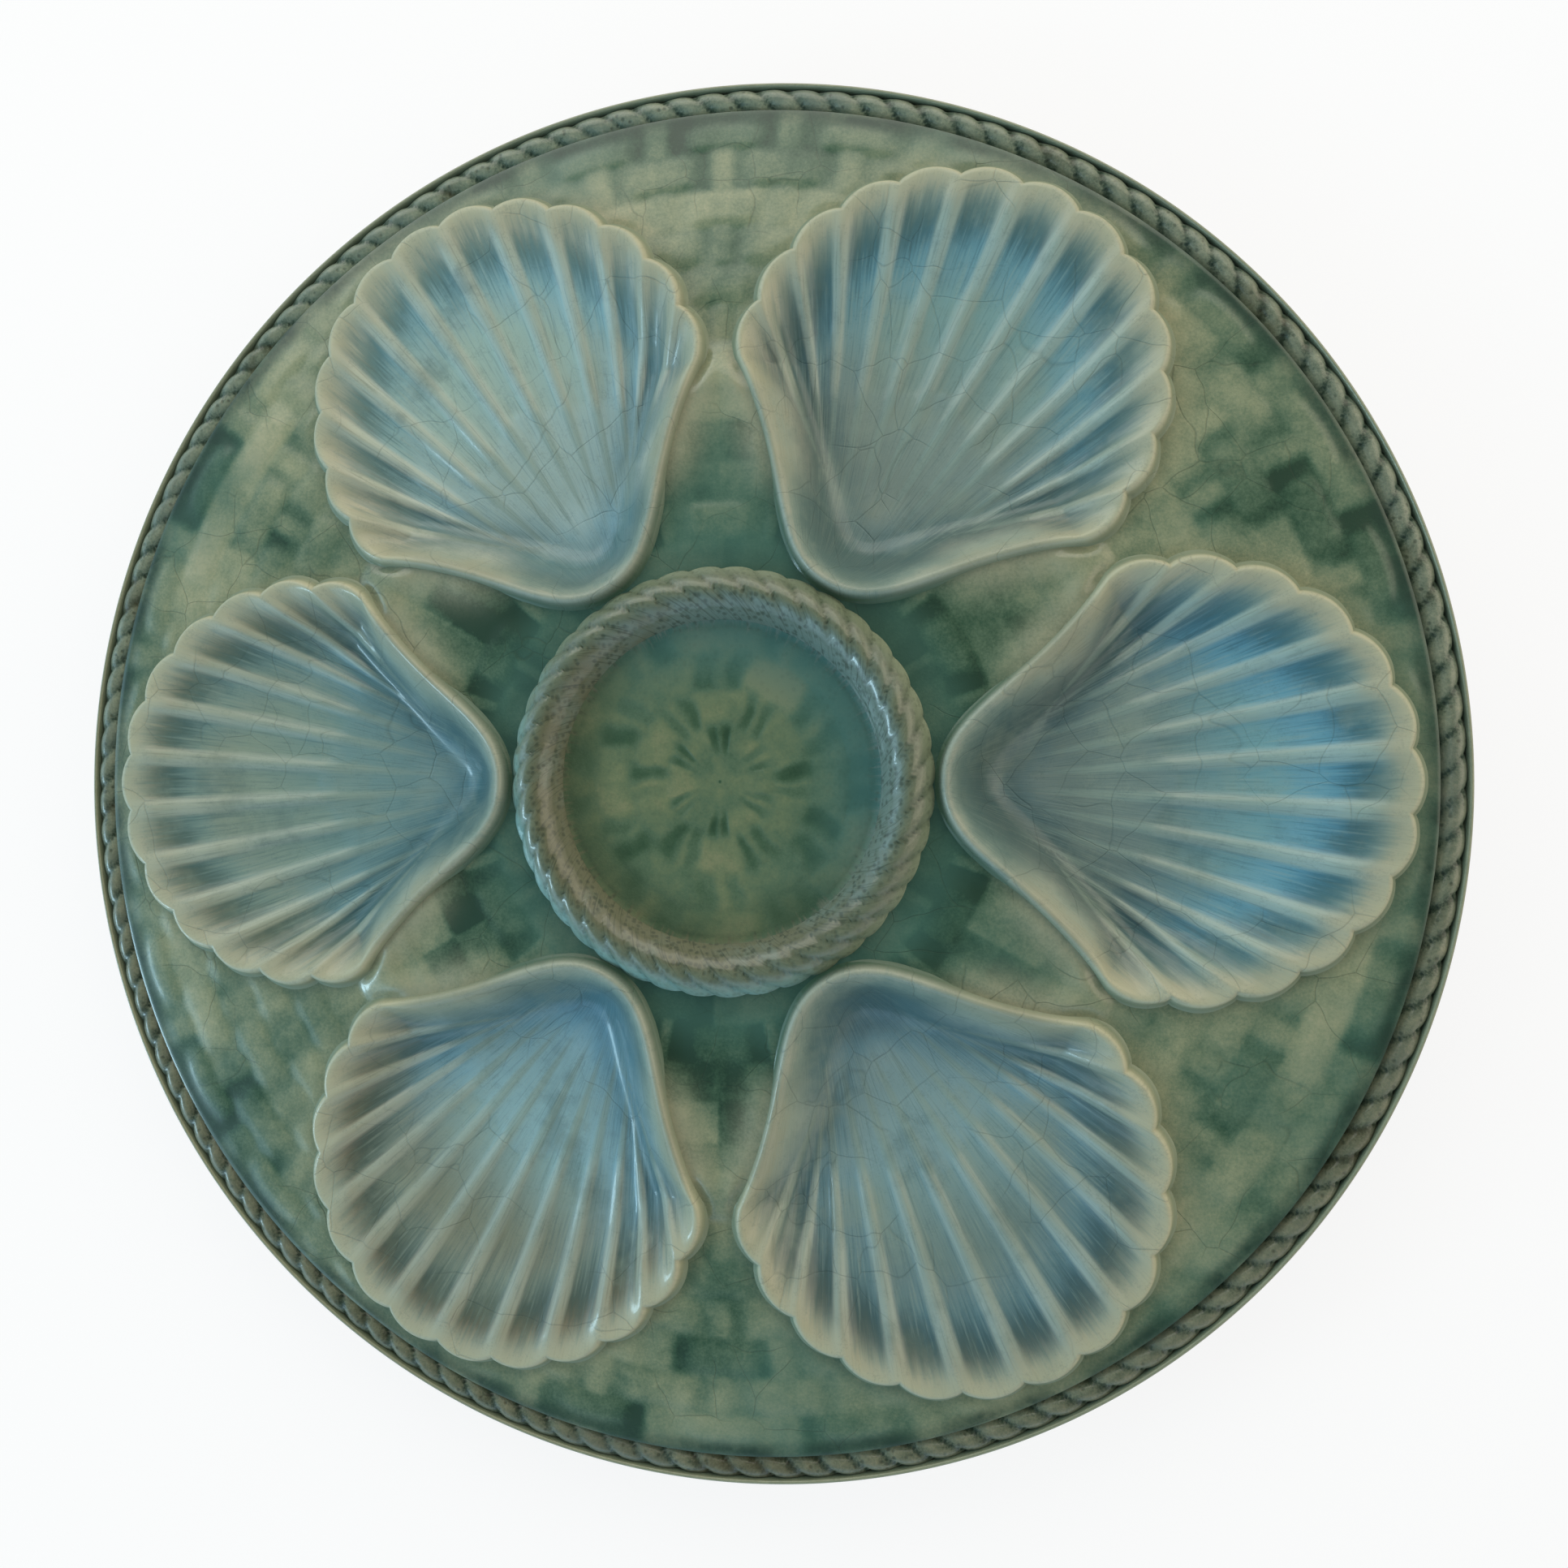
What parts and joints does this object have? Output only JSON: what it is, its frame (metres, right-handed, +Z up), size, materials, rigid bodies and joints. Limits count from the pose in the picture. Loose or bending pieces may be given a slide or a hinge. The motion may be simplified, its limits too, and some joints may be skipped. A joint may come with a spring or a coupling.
{
  "type": "oyster plate",
  "caption": "Round glazed earthenware plate with fluted shell-shaped wells round a rope-edged centre well, on a foot ring, for serving oysters",
  "frame": {"origin": "centre of the plate on the surface it stands on", "axes": "+Z up along the plate's axis, +X through the middle of one shell well"},
  "size_m": [0.25, 0.25, 0.027],
  "materials": {
    "ground_glaze": "green translucent gloss glaze, pooled dark in the weave",
    "rope_glaze": "grey-green gloss glaze worn to cream on the crests",
    "shell_glaze": "milky blue-grey gloss glaze, cream on lips and ridges, finely crazed",
    "foot_clay": "cream clay, bare on the standing edge"
  },
  "bodies": {
    "root": {"plate_body": "ground_glaze", "weave_relief": "ground_glaze", "rim_lip": "rope_glaze", "rim_rope": "rope_glaze", "shell_well_1": "shell_glaze", "shell_well_2": "shell_glaze", "shell_well_3": "shell_glaze", "shell_well_4": "shell_glaze", "shell_well_5": "shell_glaze", "shell_well_6": "shell_glaze", "centre_bowl": "ground_glaze", "bowl_weave": "ground_glaze", "centre_rope": "rope_glaze", "foot_ring": "foot_clay"}
  },
  "joints": []
}
